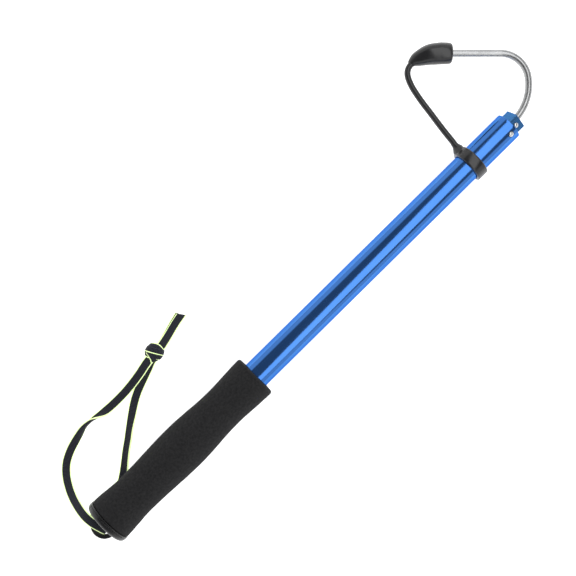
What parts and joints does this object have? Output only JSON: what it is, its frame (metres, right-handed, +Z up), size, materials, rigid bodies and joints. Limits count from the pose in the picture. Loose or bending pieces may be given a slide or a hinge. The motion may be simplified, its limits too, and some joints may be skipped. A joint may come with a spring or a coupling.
{
  "type": "telescopic gaff",
  "caption": "Two-section telescopic hand gaff with a curved steel hook, rubber point guard on a strap and ring, foam grip, end cap and wrist lanyard.",
  "frame": {"origin": "on the surface that the gaff lies on, under the middle of the box of its hardware, the lanyard left out", "axes": "+X along the pole from the butt to the hook, +Y towards the side that the hook opens to, +Z up"},
  "size_m": [0.4824, 0.1084, 0.0376],
  "materials": {
    "tube_blue": "bright blue anodised, glossy",
    "pole_blue": "darker blue anodised, satin",
    "hook_steel": "polished stainless wire",
    "stainless": "polished domed pins",
    "spring_steel": "plain spring strip",
    "nylon": "black moulded nylon",
    "cap_plastic": "black, moulded, glossy",
    "foam": "closed-cell foam, matt, fine grained",
    "guard_rubber": "soft moulded elastomer, satin",
    "webbing": "ribbed dark webbing with yellow-green edges"
  },
  "bodies": {
    "handle": {"outer_tube": "tube_blue", "front_bush": "nylon", "grip": "foam", "end_cap": "cap_plastic", "lanyard_front_strand": "webbing", "lanyard_back_strand": "webbing", "lanyard_knot": "webbing", "lanyard_front_tail": "webbing", "lanyard_back_tail": "webbing"},
    "inner_pole": {"inner_tube": "pole_blue", "rear_guide": "nylon", "rear_guide_pin": "spring_steel", "hook_plug": "nylon", "hook_rivet": "stainless", "hook": "hook_steel", "front_snap_spring": "spring_steel", "rear_snap_spring": "spring_steel", "guard_strap_upper": "guard_rubber", "guard_strap_lower": "guard_rubber"},
    "front_button": {"front_snap_button": "stainless"},
    "rear_button": {"rear_snap_button": "stainless"},
    "point_guard": {"tip_guard": "guard_rubber"},
    "tube_ring": {"guard_ring": "guard_rubber"}
  },
  "joints": [
    {"name": "pole_extend", "type": "slide", "parent": "handle", "child": "inner_pole", "axis": [1, 0, 0], "range_m": [0, 0.372], "deforming": ["front_snap_button", "rear_snap_button"]},
    {"name": "front_button_press", "type": "slide", "parent": "inner_pole", "child": "front_button", "axis": [0, -0.515, 0.8572], "range_m": [-0.003, 0], "stiffness_N_per_m": 800, "deforming": ["front_snap_spring"]},
    {"name": "rear_button_pop", "type": "slide", "parent": "inner_pole", "child": "rear_button", "axis": [0, -0.515, 0.8572], "range_m": [0, 0.0024], "deforming": ["rear_snap_spring"]},
    {"name": "guard_pull", "type": "slide", "parent": "inner_pole", "child": "point_guard", "axis": [-0.712, 0.7022, 0], "range_m": [0, 0.028], "deforming": ["guard_strap_upper"]},
    {"name": "ring_slide", "type": "slide", "parent": "inner_pole", "child": "tube_ring", "axis": [1, 0, 0], "range_m": [-0.03, 0.024], "deforming": ["guard_strap_lower"]}
  ],
  "couplings": [
    {"joint": "rear_button_pop", "follows": "pole_extend", "ratio": 0.0064516}
  ]
}
